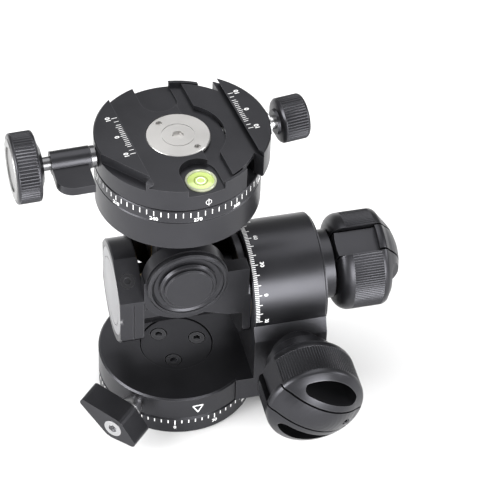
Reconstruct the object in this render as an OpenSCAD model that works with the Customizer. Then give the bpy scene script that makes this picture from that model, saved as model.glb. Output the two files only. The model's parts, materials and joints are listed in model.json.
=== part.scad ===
// Geared tripod head: a panning base, a geared tilt and roll, and a panning dovetail clamp.
// Millimetres. +X runs along the tilt axis towards its knob, -Y faces the operator and +Z is up.
// The origin lies on the pan axis of the base, at its underside.

/* [Base] */
// Radius of the base rings
base_r = 30; // [29.5:0.5:34]
// Height of the fixed scale ring
scale_ring_h = 7.8; // [7.4:0.2:9]
// Height of the turning ring
turn_ring_h = 10.8; // [10.4:0.2:13]
// Gap between a fixed ring and the ring that turns on it
ring_gap = 0.2; // [0.15:0.05:0.4]
// Radius of the pan spindle
spindle_r = 12; // [11.6:0.1:12.4]
// Radius of the tapped hole for the tripod screw, a 3/8 inch thread
thread_r = 3.97; // [3:0.01:4.4]
// Depth of the tapped hole
thread_depth = 11.7; // [9:0.1:12]
// Radius of the hub plate on top of the spindle
hub_r = 14; // [13.6:0.1:14.6]
// Thickness of the hub plate
hub_h = 2.5; // [2.2:0.1:2.9]
// Radius of the circle that the hub screws lie on
hub_screw_ring_r = 8.6; // [8.3:0.1:8.8]

/* [Pan lock] */
// Direction of the pan lock, counted from +X
lock_angle = 226.8; // [200:0.5:235]
// Distance from the pan axis to the outer face of the lock's wing
lock_reach = 46; // [43:0.5:50]
// Length of the wing's long arm
lock_wing_r = 16; // [14:0.5:17]
// Length of the wing's short arm
lock_wing_short = 10.5; // [9:0.5:13]
// Slope of the wing against the horizontal
lock_wing_turn = 27; // [0:1:40]

/* [Column and barrel] */
// Distance from the pan axis to the near side of the column
column_x = 24.8; // [24.6:0.1:26]
// Width of the column and length of the barrel
column_w = 27.9; // [27.5:0.1:31]
// Distance from the pan axis to the column's front face
column_front = 24.4; // [24.2:0.1:26]
// Distance from the pan axis to the column's rear face
column_rear = 18; // [17:0.5:21]
// Height of the tilt axis above the turning ring
tilt_rise = 29.05; // [28.8:0.05:31]
// Outer radius of the barrel
barrel_r = 22.2; // [21.8:0.1:23]
// Radius of the bore in the barrel
barrel_bore_r = 17; // [16.6:0.1:17.6]

/* [Gears] */
// Gear module
gear_module = 0.5; // [0.5:0.05:0.55]
// Teeth on the tilt wheel
tilt_teeth = 50; // [48:1:51]
// Teeth on the roll wheel
roll_teeth = 52; // [51:1:53]
// Pitch radius of the tilt worm
tilt_worm_r = 5.1; // [4.9:0.05:5.3]
// Width of a worm wheel
wheel_w = 5; // [4:0.5:6]
// Length of the thread on a worm
worm_len = 11; // [9:0.5:12]

/* [Arm] */
// Radius of the arm's round end
arm_r = 19.7; // [19.2:0.1:20.2]
// Distance from the pan axis to the arm's outer face
arm_reach = 25; // [24.5:0.1:26]
// Length of the arm's round end along the tilt axis
arm_end_w = 9.1; // [8.6:0.1:9.5]
// Distance from the pan axis to the arm's front and rear faces
arm_face = 17; // [16.5:0.1:18]
// Thickness of the arm's front and rear walls
arm_wall = 5.8; // [5:0.1:6]
// Radius of the lower half of the boss round the roll shaft
boss_r = 18.4; // [17.8:0.1:19]
// Radius of the beam along the tilt axis
beam_r = 11; // [10.5:0.1:12]

/* [Roll stage] */
// Height of the roll axis above the tilt axis
roll_rise = 20.35; // [20.2:0.05:20.6]
// Height of the roll worm above the tilt axis
drive_rise = 2; // [0:0.1:2.2]
// Radius of the roll shaft
roll_shaft_r = 6; // [5.5:0.1:6.4]
// Radius of the flange at the front of the roll shaft
flange_r = 14.9; // [14:0.1:15.5]
// Radius of the cap in that flange
cap_r = 9.1; // [8.6:0.1:10]
// Height of the clamp's lower ring above the roll axis
neck_rise = 29; // [28.5:0.1:31]

/* [Panning clamp] */
// Radius of the clamp
clamp_r = 30; // [29.5:0.1:31]
// Height of the clamp's lower ring
clamp_ring_h = 18.2; // [16:0.2:20]
// Height of the clamp body from its underside to its floor
clamp_h = 9.3; // [9.1:0.1:10]
// Turn of the clamp body on its ring
clamp_turn = 8; // [0:0.5:10]
// Height of the jaws above the floor
lip_h = 2.4; // [2:0.1:3]
// Gap between the jaws' edges when they are closed
jaw_gap = 34.8; // [34:0.1:35.6]
// How far the moving jaw stands open
jaw_open = 5.3; // [4:0.1:5.6]
// Radius of the bright disc at the clamp's centre
disc_r = 11.55; // [11:0.05:12]
// Radius of the round level
level_r = 5.6; // [5:0.1:5.8]

/* [Clamp knobs] */
// Radius of the knob on the moving jaw
jaw_knob_r = 8.3; // [8:0.1:8.6]
// Length of that knob
jaw_knob_len = 11.5; // [10:0.5:13]
// Radius of the clamp's pan lock knob
pan_knob_r = 12.7; // [11.5:0.1:13.5]
// Length of the pan lock knob
pan_knob_len = 10.5; // [9.5:0.5:12]
// Distance from the pan axis to the pan lock knob's inner face
pan_knob_reach = 49.5; // [49:0.5:54]
// Direction of the pan lock knob, counted from -X
pan_knob_turn = 2; // [0:0.5:10]

/* [Gear knobs] */
// Radius of a gear knob
knob_r = 18.6; // [18:0.1:19.5]
// Length of a gear knob with its flange
knob_len = 32.5; // [31.6:0.1:34]
// Radius of the flange behind the knob's wings
knob_flange_r = 13.2; // [12.8:0.1:14]
// Length of that flange
knob_flange_len = 5.4; // [5:0.1:6.5]
// Length of the collar that holds the tilt knob off the column
tilt_collar = 4.4; // [3:0.1:5]
// Width of the bar between the two wings
bar_w = 9.6; // [9:0.1:10.6]
// Wall of a wing
wing_wall = 3; // [2.6:0.1:3.4]
// How far a wing can be squeezed in
squeeze = 0.6; // [0.4:0.1:0.8]
// Turn of the tilt knob's bar about its axis
tilt_knob_turn = 29; // [0:1:90]
// Turn of the roll knob's bar about its axis
roll_knob_turn = 21; // [0:1:90]

/* [Clearances] */
// Radial clearance of a shaft that turns in its bore
run_fit = 0.05; // [0.02:0.01:0.08]
// Radial clearance of a piece that is pressed or screwed in place
set_fit = 0.02; // [0.01:0.01:0.04]
// Gap between faces that move past each other
face_gap = 0.15; // [0.1:0.05:0.25]

/* [Hidden] */

$fn = 64;
black = [0.10, 0.10, 0.11];
grey = [0.30, 0.30, 0.32];
silver = [0.80, 0.80, 0.80];
steel = [0.60, 0.60, 0.62];
bronze = [0.72, 0.55, 0.28];
nylon = [0.85, 0.84, 0.78];
eps = 0.01;
// Size of a cutting box that reaches past every face near it
past = 60;

// Screw sizes: thread radius, head radius, head height
m3_r = 1.5;
m3_head_r = 2.75;
m3_head_h = 1.6;
head_room = 0.15;

// Heights of the base
flange_h = 3;
spindle_flange_r = 17;
underside_step = 0.3;
turn_z = scale_ring_h + ring_gap;
base_top = scale_ring_h + turn_ring_h;
hub_recess = 0.6;
spindle_top = base_top - hub_recess - hub_h;
washer_h = 0.55;
ledge_z = spindle_top - washer_h - run_fit;
glide_in_r = 19;
glide_out_r = 26;
glide_sink = 0.35;
glide_z = scale_ring_h - glide_sink;
glide_top = turn_z + glide_sink;
insert_r = 6.3;
spindle_screw_ring_r = 14.6;
hub_screw_len = 7.5;
hub_screw_start = 10.7;

// Pan lock, along its own axis from the pan axis outwards
lock_z = (turn_z + base_top) / 2;
shoe_r = 3;
shoe_len = 5;
stem_r = 2.6;
lock_wing_len = 10;
collar_len = 4;
lock_hub_r = 5.6;
lock_tip_r = 1.7;

// Axes
tilt_z = base_top + tilt_rise;
roll_z = tilt_z + roll_rise;
column_far = column_x + column_w;
tilt_wheel_r = gear_module * tilt_teeth / 2;
roll_wheel_r = gear_module * roll_teeth / 2;
drive_z = tilt_z + drive_rise;
roll_worm_r = roll_rise - drive_rise - roll_wheel_r;
tilt_wheel_x = column_x + 16.2;
tilt_worm_z = tilt_z - tilt_wheel_r - tilt_worm_r;
tilt_knob_y = -column_front - tilt_collar - face_gap;
collar_r = 10;
tooth_pitch = PI * gear_module;
tooth_top = 0.9 * gear_module;
tooth_root = 1.25 * gear_module;
worm_bore_r = tilt_worm_r + tooth_top + 0.75;
roll_worm_bore_r = roll_worm_r + tooth_top + 0.55;
bush_len = 8;
drive_r = 4;

// Arm
arm_disc_r = 19.3;
arm_disc_x = column_x - 3.3;
boss_top_r = 15.5;
waist_x = arm_reach - arm_end_w;
end_z = tilt_z + 4.35;
facet_slope = 38;
facet_z = end_z + 9;
groove_x = [-19.8, -15.9];
groove_w = 0.6;
floor_half = 12.5;
floor_thick = 4.4;
arm_near = column_x - ring_gap;
pocket_half = arm_face - arm_wall;
pocket_z = tilt_z + floor_thick;
pocket_end_x = column_x - 9.2;
trunnion_plug_r = 13;
trunnion_plug_len = 2.8;
trunnion_seat_r = 9.5;
bush_wall = 1.5;
trunnion_r = barrel_bore_r - bush_wall - run_fit;
cap_thick = 1.2;
end_cap_r = 17;
bush_end = worm_len / 2 + 0.6 + bush_len;
shaft_bore_r = drive_r + 1.1;

// Roll stage and clamp
ring_z = roll_z + neck_rise;
ring_top = ring_z + clamp_ring_h;
body_z = ring_top + ring_gap;
floor_z = body_z + clamp_h;
lip_z = floor_z + lip_h;
cheek_in = wheel_w / 2 + 0.4;
cheek_out = pocket_half - 0.5;
cheek_r = 10.5;
neck_half = 10;
sector_half = 9.5;
plate_h = 4;
plate_r = 22;
cradle_screw_ring_r = 17.2;
clamp_spindle_r = 7;
disc_h = 1.6;
clamp_glide_in = 11;
clamp_glide_out = 16;
hole_angle = 126;
closed_lip = jaw_gap / 2;
jaw_screw_r = 2.5;
jaw_z = (body_z + floor_z) / 2;
strip_x = 10.8;
strip_r = 28.2;
seat_rim = 1.1;
jaw_end_angle = 54.6;
lock_knob_z = jaw_z + 1;
jaw_knob_start = clamp_r + 6.6;
insert_rim = 1.7;
strip_h = 1.7;
jaw_wall_x = closed_lip + 4.4;
notch_r = 17;
level_y = -22.9;
level_drop = 5.25;
pocket_r = 6.8;
pocket_y = 20.5;
pocket_h = 2.6;
pin_y = 13;
pin_r = 1.5;
pin_start = 10.5;
pin_grip = 1.6;
pin_room = 0.4;
disc_fit = 0.07;
seat_gap = 0.4;
seat_drop = 0.1;
lip_lean = 0.8;
lip_edge = 0.3;
jaw_cut_at = [-20.6, -15.9];
jaw_cut = [25.6, 30];
jaw_cut_back = 20;
jaw_cut_sink = 1.5;
jaw_tip_y = -18.1;
outline_shift = 3.2;
lock_screw_r = 2.5;
lock_pad_r = 2.9;
lock_pad_len = 6;
shaft_head_r = 11;
shaft_head_h = 2;
pocket_step = 0.8;

// Gear knob, along its own axis from the back of the flange
wing_start = knob_flange_len + 0.3;
bar_half = bar_w / 2;
wing_flat = bar_half + 0.2;
wing_inner_wall = 2.4;
end_block = 8;
block_groove = 1.5;
waist_back = 3;
dome = 9.6;
dome_r = 23;
rim_round = 5;
spring_r = 1.8;
spring_sink = 0.6;
spring_z = wing_start + 12;

function arc(cx, cy, r, a0, a1, n) =
    [for (i = [0:n]) [cx + r * cos(a0 + (a1 - a0) * i / n), cy + r * sin(a0 + (a1 - a0) * i / n)]];

// A round bar along +Z with bevelled edges
module bevelled(r, z0, z1, edge) {
    rotate_extrude()
        polygon([[0, z0], [r - edge, z0], [r, z0 + edge], [r, z1 - edge], [r - edge, z1], [0, z1]]);
}

module tube(r_out, r_in, h) {
    difference() {
        cylinder(r = r_out, h = h);
        translate([0, 0, -1]) cylinder(r = r_in, h = h + 2);
    }
}

// Children that stand along +Z are laid along +X or -Y, at height z
module along_x(x, z) { translate([x, 0, z]) rotate([0, 90, 0]) children(); }
module along_front(x, y, z) { translate([x, y, z]) rotate([90, 0, 0]) children(); }

module around(radius, count, start) {
    for (i = [0:count - 1]) rotate([0, 0, start + i * 360 / count]) translate([radius, 0, 0]) children();
}

// Socket head screw that points down, with the top of its head at z = 0
module socket_screw(thread, head, head_h, length) {
    difference() {
        union() {
            translate([0, 0, -head_h]) cylinder(r = head, h = head_h, $fn = 32);
            translate([0, 0, -head_h - length]) cylinder(r = thread, h = length + eps, $fn = 32);
        }
        translate([0, 0, -head_h * 0.6]) cylinder(r = head * 0.52, h = head_h, $fn = 6);
    }
}

// Wheel with straight teeth; a gap between two teeth faces direction gap_angle
module toothed_wheel(teeth, gap_angle) {
    r = gear_module * teeth / 2;
    half = tooth_pitch * 0.18;
    flank = tan(20);
    step = 360 / teeth;
    points = [for (i = [0:teeth - 1]) each
        let (mid = gap_angle + (i + 0.5) * step)
        let (root_half = (half + tooth_root * flank) / (r - tooth_root) * 180 / PI)
        let (tip_half = (half - tooth_top * flank) / (r + tooth_top) * 180 / PI)
        [[r - tooth_root, mid - root_half], [r + tooth_top, mid - tip_half],
         [r + tooth_top, mid + tip_half], [r - tooth_root, mid + root_half]]];
    translate([0, 0, -wheel_w / 2])
        linear_extrude(wheel_w) polygon([for (p = points) [p[0] * cos(p[1]), p[0] * sin(p[1])]]);
}

// Right-hand worm thread along +Z about z = 0; its crest passes direction crest_angle at z = 0
module worm_thread(r, crest_angle) {
    steps = 18;
    half = tooth_pitch * 0.18;
    flank = tan(20);
    root = r - tooth_root - 0.15;
    tip = r + tooth_top;
    root_half = half + (r - root) * flank;
    tip_half = half - tooth_top * flank;
    turns = floor(worm_len / tooth_pitch / 2) * 2;
    count = turns * steps;
    rings = [for (i = [0:count]) each
        let (turn = i / steps - turns / 2)
        let (a = crest_angle + turn * 360)
        let (z = turn * tooth_pitch)
        [for (p = [[root, -root_half], [tip, -tip_half], [tip, tip_half], [root, root_half]])
            [p[0] * cos(a), p[0] * sin(a), z + p[1]]]];
    sides = [for (i = [0:count - 1]) each [for (k = [0:3]) each
        let (a = 4 * i + k)
        let (b = 4 * i + (k + 1) % 4)
        [[a, b, b + 4], [a, b + 4, a + 4]]]];
    last = 4 * count;
    ends = [[0, 3, 2], [0, 2, 1], [last, last + 1, last + 2], [last, last + 2, last + 3]];
    polyhedron(points = rings, faces = concat(sides, ends));
}

// ---- Base: what stays on the tripod ----

module base_scale_ring() {
    color(black) difference() {
        bevelled(base_r, 0, scale_ring_h, 0.6);
        translate([0, 0, -1]) cylinder(r = spindle_r + set_fit, h = scale_ring_h + 2);
        translate([0, 0, -1]) cylinder(r = spindle_flange_r + set_fit, h = flange_h + 1);
        translate([0, 0, glide_z]) tube(glide_out_r + set_fit, glide_in_r - set_fit, glide_sink + 1);
        around(spindle_screw_ring_r, 3, 90) cylinder(r = 1.25, h = scale_ring_h - 1.2);
    }
}

module pan_spindle() {
    color(steel) difference() {
        union() {
            translate([0, 0, underside_step]) cylinder(r = spindle_flange_r, h = flange_h - underside_step);
            translate([0, 0, underside_step]) cylinder(r = spindle_r, h = spindle_top - underside_step);
        }
        translate([0, 0, -1]) cylinder(r = insert_r + set_fit, h = thread_depth + 1);
        around(spindle_screw_ring_r, 3, 90) {
            translate([0, 0, -1]) cylinder(r = 1.25 + set_fit, h = flange_h + 2, $fn = 32);
            translate([0, 0, -1]) cylinder(r = 2.3, h = 2.2 + underside_step, $fn = 32);
        }
        around(hub_screw_ring_r, 3, hub_screw_start)
            translate([0, 0, spindle_top - hub_screw_len]) cylinder(r = m3_r + set_fit, h = 20, $fn = 32);
    }
}

module mount_insert() {
    color(silver) tube(insert_r, thread_r, thread_depth);
}

module spindle_screws() {
    color(steel) around(spindle_screw_ring_r, 3, 90) translate([0, 0, underside_step + 0.1])
        rotate([180, 0, 0]) socket_screw(1.25 - set_fit, 2.2, 1.1, 5);
}

module hub_plate() {
    color(black) translate([0, 0, spindle_top]) difference() {
        bevelled(hub_r, 0, hub_h, 0.4);
        around(hub_screw_ring_r, 3, hub_screw_start) {
            translate([0, 0, -1]) cylinder(r = m3_r + set_fit, h = hub_h + 2, $fn = 32);
            translate([0, 0, hub_h - m3_head_h - 0.2]) cylinder(r = m3_head_r + 0.6, h = 3, $fn = 48);
        }
    }
}

module hub_screws() {
    color(grey) around(hub_screw_ring_r, 3, hub_screw_start) translate([0, 0, spindle_top + hub_h - 0.2])
        socket_screw(m3_r, m3_head_r + 0.2, m3_head_h, hub_screw_len);
}

module pan_glide_ring() {
    color(nylon) translate([0, 0, glide_z]) tube(glide_out_r, glide_in_r, glide_top - glide_z - run_fit);
}

module pan_thrust_washer() {
    color(bronze) translate([0, 0, spindle_top - washer_h]) tube(hub_r - 0.1, spindle_r + 0.05, washer_h);
}

// ---- Housing: the turning ring, the column and the barrel ----

module pan_housing() {
    shoulder_x = base_r * 0.6;
    rear_x = base_r * 0.78;
    slope_z = tilt_z - 4;
    color(black) difference() {
        union() {
            bevelled(base_r, turn_z, base_top, 0.6);
            translate([shoulder_x, -column_front, turn_z])
                cube([column_far - shoulder_x, column_front, base_top - turn_z]);
            translate([rear_x, 0, turn_z]) cube([column_far - rear_x, column_rear, base_top - turn_z]);
            translate([column_x, 0, 0]) rotate([90, 0, 90]) linear_extrude(column_w) polygon([
                [-column_front, turn_z], [-column_front, tilt_z - 9.6], [-barrel_r * 0.985, slope_z],
                [0, tilt_z], [column_rear, tilt_z - 12], [column_rear, turn_z]]);
            along_x(column_x, tilt_z) bevelled(barrel_r, 0, column_w, 0.5);
            along_front(tilt_wheel_x, -column_front + 1, tilt_worm_z)
                bevelled(collar_r, 0, tilt_collar + 1, 0.4);
        }
        translate([0, 0, turn_z - 1]) cylinder(r = spindle_r + run_fit, h = turn_ring_h + 2);
        translate([0, 0, ledge_z]) cylinder(r = hub_r + 0.08, h = turn_ring_h);
        translate([0, 0, turn_z - 1]) tube(glide_out_r + 0.1, glide_in_r - 0.1, glide_top - turn_z + 1);
        rotate([0, 0, lock_angle]) {
            along_x(spindle_r - 1, lock_z) cylinder(r = shoe_r + set_fit, h = shoe_len + 2.2);
            along_x(spindle_r, lock_z) cylinder(r = stem_r + run_fit, h = base_r);
        }
        along_x(column_x - 1, tilt_z) cylinder(r = barrel_bore_r, h = column_w - 2);
        along_x(column_x, tilt_z) cylinder(r = drive_r + 3, h = column_w + 1);
        along_front(tilt_wheel_x, column_rear + 1, tilt_worm_z)
            cylinder(r = worm_bore_r, h = column_front + column_rear + tilt_collar + 2);
    }
}

module barrel_bush_left() {
    color(bronze) along_x(column_x + 0.2, tilt_z)
        tube(barrel_bore_r - set_fit, trunnion_r + run_fit, bush_len);
}

module barrel_bush_right() {
    start = tilt_wheel_x + tilt_worm_r + tooth_top + 0.55;
    color(bronze) along_x(start, tilt_z)
        tube(barrel_bore_r - set_fit, trunnion_seat_r + run_fit, column_far - 3.2 - start);
}

module barrel_end_ring() {
    color(grey) along_x(column_far, tilt_z) tube(barrel_r - 1.4, knob_flange_r - 3, 0.7);
}

module tilt_worm_bush_front() {
    color(bronze) along_front(tilt_wheel_x, -column_front - tilt_collar + bush_len + 0.2, tilt_worm_z)
        tube(worm_bore_r - set_fit, drive_r + run_fit, bush_len);
}

module tilt_worm_bush_rear() {
    color(bronze) along_front(tilt_wheel_x, column_rear - 0.2, tilt_worm_z) difference() {
        cylinder(r = worm_bore_r - set_fit, h = bush_len);
        translate([0, 0, 2]) cylinder(r = drive_r + run_fit, h = bush_len);
    }
}

module pan_lock_shoe() {
    color(nylon) rotate([0, 0, lock_angle]) along_x(0, lock_z) difference() {
        translate([0, 0, spindle_r]) cylinder(r = shoe_r, h = shoe_len);
        rotate([0, -90, 0]) translate([0, 0, -shoe_r * 2]) cylinder(r = spindle_r + run_fit, h = shoe_r * 4);
        // it clears the thrust washer above it
        translate([lock_z + run_fit - ledge_z - 10, -10, 0]) cube([10, 20, hub_r + 0.3]);
    }
}

// ---- Pan lock ----

// The lock's parts lie along +Z here, counted from the pan axis
module at_lock() { rotate([0, 0, lock_angle]) along_x(0, lock_z) children(); }

module pan_lock_wing() {
    color(black) at_lock() translate([0, 0, lock_reach - lock_wing_len])
        rotate([0, 0, -90 - lock_wing_turn]) difference() {
            linear_extrude(lock_wing_len) hull() {
                circle(r = lock_hub_r, $fn = 32);
                translate([lock_wing_r - lock_tip_r, 0]) circle(r = lock_tip_r, $fn = 32);
                translate([lock_tip_r - lock_wing_short, 0]) circle(r = lock_tip_r, $fn = 32);
            }
            translate([0, 0, -1]) cylinder(r = stem_r + set_fit, h = lock_wing_len + 2);
            translate([0, 0, lock_wing_len - 2.4]) cylinder(r = 3.6 + set_fit, h = 3);
        }
}

module pan_lock_stem() {
    inner = spindle_r + shoe_len;
    color(steel) at_lock() {
        translate([0, 0, inner]) cylinder(r = stem_r, h = lock_reach - 2.4 - inner);
        translate([0, 0, lock_reach - lock_wing_len - collar_len])
            rotate_extrude() polygon([[0, 0], [4, 0], [5.2, collar_len - 0.8], [5.2, collar_len], [0, collar_len]]);
    }
}

module pan_lock_screw() {
    color(silver) at_lock() translate([0, 0, lock_reach + 0.2]) difference() {
        translate([0, 0, -2.6]) cylinder(r = 3.6, h = 2.6);
        translate([0, 0, -1.8]) cylinder(r = 1.9, h = 3, $fn = 6);
    }
}

// ---- Arm: tilts about X in the barrel ----

// Outline of the arm's front and rear walls, seen from the front
function wall_outline() = concat(
    [[-waist_x - 1, roll_z + 2], [-waist_x - 1, end_z]],
    arc(0, roll_z, boss_r, 215, 292, 12),
    [[waist_x, tilt_z + 0.2], [arm_near - 1, tilt_z - 0.6], [arm_near - 1, roll_z + 2]]);

module arm_shape() {
    along_x(-arm_reach, end_z) bevelled(arm_r, 0, arm_end_w, 0.5);
    along_x(-waist_x - 1, tilt_z) cylinder(r = beam_r, h = waist_x + arm_near + 1);
    along_x(arm_disc_x, tilt_z) bevelled(arm_disc_r, 0, arm_near - arm_disc_x, 0.4);
    for (y = [arm_face, -pocket_half]) {
        translate([0, y, 0]) rotate([90, 0, 0]) linear_extrude(arm_wall) polygon(wall_outline());
        along_front(0, y, roll_z) cylinder(r = boss_top_r, h = arm_wall);
    }
    translate([-waist_x - 1, -floor_half, tilt_z]) cube([waist_x + arm_near, 2 * floor_half, floor_thick]);
}

module tilt_arm() {
    color(black) difference() {
        intersection() {
            arm_shape();
            translate([-arm_reach - 1, -arm_face - eps, 0])
                cube([arm_reach + arm_near + 1, 2 * arm_face + 2 * eps, roll_z + boss_r]);
        }
        translate([-waist_x + pocket_step, -pocket_half, pocket_z])
            cube([waist_x + pocket_end_x - pocket_step, 2 * pocket_half, past]);
        along_x(-arm_reach - 1, drive_z) cylinder(r = roll_worm_bore_r, h = arm_reach + bush_end + 1);
        along_x(0, drive_z) cylinder(r = shaft_bore_r, h = arm_near + 1);
        along_x(arm_near - trunnion_plug_len, tilt_z) cylinder(r = trunnion_plug_r + set_fit, h = 10);
        along_front(0, arm_face + 1, roll_z) cylinder(r = roll_shaft_r + bush_wall + 0.5, h = 2 * arm_face + 2);
        along_x(-arm_reach - 1, end_z) cylinder(r = end_cap_r + set_fit, h = cap_thick + 1);
        translate([-arm_reach - 1, -arm_face, facet_z]) rotate([facet_slope, 0, 0])
            translate([0, -past / 2, 0]) cube([arm_end_w + 1, past, past / 2]);
        at_side_screw() translate([0, 0, -m3_head_h]) cylinder(r = m3_head_r + head_room, h = 8);
        at_side_screw() translate([0, 0, -8]) cylinder(r = m3_r + set_fit, h = 8, $fn = 32);
        for (x = groove_x) translate([x - groove_w / 2, -arm_face - 1, tilt_z - 12])
            cube([groove_w, 1.5, 24]);
    }
}

// The screw in the sloping facet of the arm's round end; +Z is its axis
module at_side_screw() {
    translate([-arm_reach + 4.2, -arm_face, facet_z]) rotate([facet_slope, 0, 0])
        translate([0, 8.4, 0]) children();
}

module arm_side_screw() {
    color(steel) at_side_screw() socket_screw(m3_r, m3_head_r, m3_head_h, 6);
}

module arm_end_cap() {
    color(grey) along_x(-arm_reach, end_z) difference() {
        bevelled(end_cap_r, 0, cap_thick, 0.3);
        translate([0, 0, -1]) tube(13.2, 12.9, 1.25);
    }
}

module tilt_trunnion() {
    plug_x = arm_near - trunnion_plug_len;
    big_end = column_x + 0.2 + bush_len + 0.4;
    color(steel) difference() {
        union() {
            along_x(plug_x, tilt_z) cylinder(r = trunnion_plug_r, h = trunnion_plug_len);
            along_x(arm_near - eps, tilt_z) cylinder(r = trunnion_r, h = big_end - arm_near);
            along_x(big_end - 1, tilt_z) cylinder(r = trunnion_seat_r, h = column_far - 3.4 - big_end + 1);
        }
        along_x(plug_x - 1, drive_z) cylinder(r = drive_r + run_fit, h = column_w + 20);
    }
}

module tilt_wheel() {
    color(bronze) translate([tilt_wheel_x, 0, tilt_z]) rotate([0, 90, 0]) difference() {
        toothed_wheel(tilt_teeth, 0);
        translate([0, 0, -wheel_w]) cylinder(r = trunnion_seat_r + set_fit, h = 2 * wheel_w);
    }
}

module roll_bush_front() {
    color(bronze) along_front(0, -pocket_half, roll_z)
        tube(roll_shaft_r + bush_wall + 0.5 - set_fit, roll_shaft_r + run_fit, arm_wall);
}

module roll_bush_rear() {
    color(bronze) along_front(0, arm_face, roll_z)
        tube(roll_shaft_r + bush_wall + 0.5 - set_fit, roll_shaft_r + run_fit, arm_wall);
}

module roll_worm_bush_left() {
    color(bronze) along_x(-bush_end, drive_z) difference() {
        cylinder(r = roll_worm_bore_r - set_fit, h = bush_len);
        translate([0, 0, 2]) cylinder(r = drive_r + run_fit, h = bush_len);
    }
}

module roll_worm_bush_right() {
    color(bronze) along_x(bush_end - bush_len, drive_z)
        tube(roll_worm_bore_r - set_fit, drive_r + run_fit, bush_len - 0.1);
}

// ---- Gear knobs; +Z is the knob's axis, from the back of its flange outwards ----

// Half outline of the whole knob
function knob_side() = concat(
    [[0, wing_start], [knob_r - rim_round, wing_start]],
    arc(knob_r - rim_round, wing_start + rim_round, rim_round, -80, 0, 5),
    arc(knob_r - 3, knob_len - dome, 3, 0, 40, 4),
    arc(0, knob_len - dome_r, dome_r, 47, 90, 8));

module knob_solid() { rotate_extrude($fn = 96) polygon(knob_side()); }

module knob_core() {
    difference() {
        union() {
            bevelled(knob_flange_r, 0, knob_flange_len, 0.4);
            intersection() {
                knob_solid();
                translate([-knob_r, -bar_half, wing_start]) cube([2 * knob_r, bar_w, knob_len]);
            }
            translate([0, 0, knob_flange_len - eps]) cylinder(r = bar_half, h = 6);
        }
        // the bar stands back behind its end block
        for (side = [-1, 1]) translate([side * (knob_r - waist_back / 2) - waist_back / 2, -bar_half - 1,
                wing_start - 1])
            cube([waist_back, bar_w + 2, knob_len - wing_start - end_block - block_groove]);
        translate([0, 0, -1]) cylinder(r = drive_r + set_fit, h = knob_len - 6);
        for (side = [-1, 1]) translate([0, 0, spring_z]) rotate([side * -90, 0, 0])
            translate([0, 0, bar_half - spring_sink]) cylinder(r = spring_r + 0.1, h = bar_half, $fn = 32);
        at_knob_screw() cylinder(r = m3_r + set_fit, h = 20, $fn = 32);
    }
}

// The set screw that holds the knob on its shaft lies across the bar's end
module at_knob_screw() { translate([knob_r * 0.66, 0, knob_len - 9]) children(); }

module knob_set_screw() {
    difference() {
        at_knob_screw() cylinder(r = m3_r, h = 5, $fn = 32);
        at_knob_screw() translate([0, 0, 3.4]) cylinder(r = 0.8, h = 4, $fn = 6);
    }
}

// One of the two grips, on the side of +Y
module knob_wing() {
    inner = knob_r - wing_wall;
    flat = wing_flat + squeeze;
    difference() {
        intersection() {
            knob_solid();
            translate([-knob_r, flat, 0]) cube([2 * knob_r, knob_r, knob_len + 1]);
        }
        translate([0, 0, wing_start + wing_wall]) linear_extrude(knob_len) offset(r = 2, $fn = 24)
            offset(delta = -2) intersection() {
                circle(r = inner);
                translate([-knob_r, flat + wing_inner_wall]) square([2 * knob_r, knob_r]);
            }
    }
}

// Springs that push the grips apart, seated in the bar and drawn at their pressed length
module knob_springs() {
    for (side = [-1, 1]) translate([0, 0, spring_z]) rotate([side * -90, 0, 0])
        translate([0, 0, bar_half - spring_sink]) tube(spring_r, spring_r - 0.5, spring_sink + 0.18);
}

module at_tilt_knob() {
    translate([tilt_wheel_x, tilt_knob_y, tilt_worm_z]) rotate([90, 0, 0])
        rotate([0, 0, -tilt_knob_turn]) children();
}

module at_roll_knob() {
    translate([column_far + 0.7 + face_gap, 0, drive_z]) rotate([0, 90, 0])
        rotate([0, 0, roll_knob_turn]) children();
}

module tilt_worm() {
    far = column_rear - 2.4;
    front = -tilt_knob_y + knob_len - 8;
    color(steel) translate([tilt_wheel_x, 0, tilt_worm_z]) rotate([90, 0, 0]) {
        worm_thread(tilt_worm_r, 90);
        translate([0, 0, -worm_len / 2 - 0.5]) cylinder(r = tilt_worm_r - tooth_root, h = worm_len + 1);
        translate([0, 0, -far]) cylinder(r = drive_r, h = far + front);
    }
}
module tilt_knob_core() { color(black) at_tilt_knob() knob_core(); }
module tilt_knob_set_screw() { color(steel) at_tilt_knob() knob_set_screw(); }
module tilt_knob_springs() { color(steel) at_tilt_knob() knob_springs(); }
module tilt_knob_wing_upper() { color(black) at_tilt_knob() knob_wing(); }
module tilt_knob_wing_lower() { color(black) at_tilt_knob() rotate([0, 0, 180]) knob_wing(); }

module roll_worm() {
    far = bush_end - 2.4;
    front = column_far + knob_len - 8;
    color(steel) translate([0, 0, drive_z]) rotate([0, 90, 0]) {
        worm_thread(roll_worm_r, 180);
        translate([0, 0, -worm_len / 2 - 0.5]) cylinder(r = roll_worm_r - tooth_root, h = worm_len + 1);
        translate([0, 0, -far]) cylinder(r = drive_r, h = far + front);
    }
}
module roll_knob_core() { color(black) at_roll_knob() knob_core(); }
module roll_knob_set_screw() { color(steel) at_roll_knob() knob_set_screw(); }
module roll_knob_springs() { color(steel) at_roll_knob() knob_springs(); }
module roll_knob_wing_upper() { color(black) at_roll_knob() knob_wing(); }
module roll_knob_wing_lower() { color(black) at_roll_knob() rotate([0, 0, 180]) knob_wing(); }

// ---- Roll stage: turns about Y in the arm and carries the clamp's lower ring ----

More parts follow.
